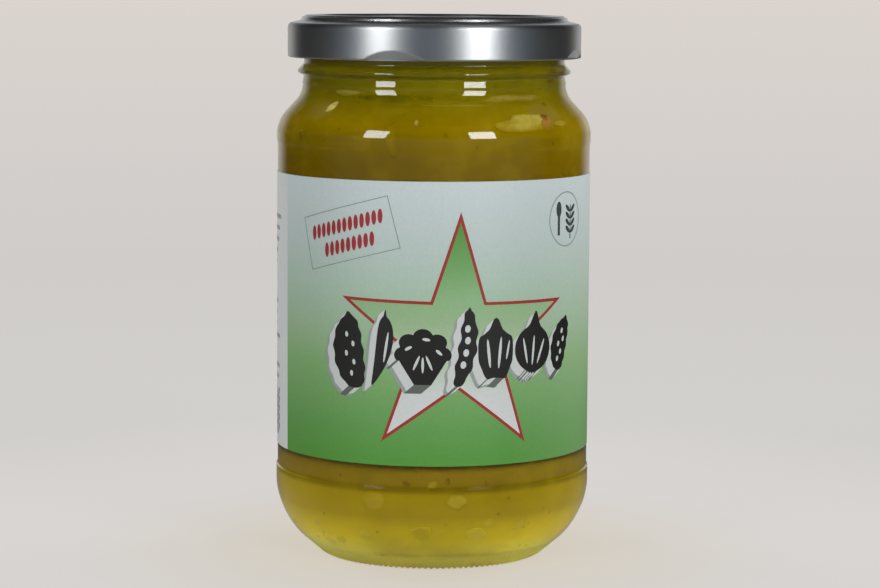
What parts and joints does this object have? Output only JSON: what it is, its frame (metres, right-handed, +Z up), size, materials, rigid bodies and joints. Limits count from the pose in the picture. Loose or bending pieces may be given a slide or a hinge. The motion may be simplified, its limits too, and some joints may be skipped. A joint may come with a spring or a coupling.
{
  "type": "jar of piccalilli",
  "caption": "Round glass jar of yellow piccalilli with a silver twist-off lid and a plain green and white wraparound paper label.",
  "frame": {"origin": "on the jar's axis, at the plane of the ring that it stands on", "axes": "+Z up along the jar's axis; the front of the label faces -Y and +X is to the viewer's right"},
  "size_m": [0.0738, 0.0738, 0.1261],
  "materials": {
    "clear_glass": "clear flint glass, smooth, slightly wavy",
    "mustard_sauce": "thick yellow mustard sauce with pale vegetable pieces, wet",
    "label_paper": "coated paper, half gloss, green fading to white",
    "silver_tinplate": "lacquered tinplate, satin silver"
  },
  "bodies": {
    "root": {"jar": "clear_glass", "piccalilli": "mustard_sauce", "label": "label_paper", "lid": "silver_tinplate"}
  },
  "joints": []
}
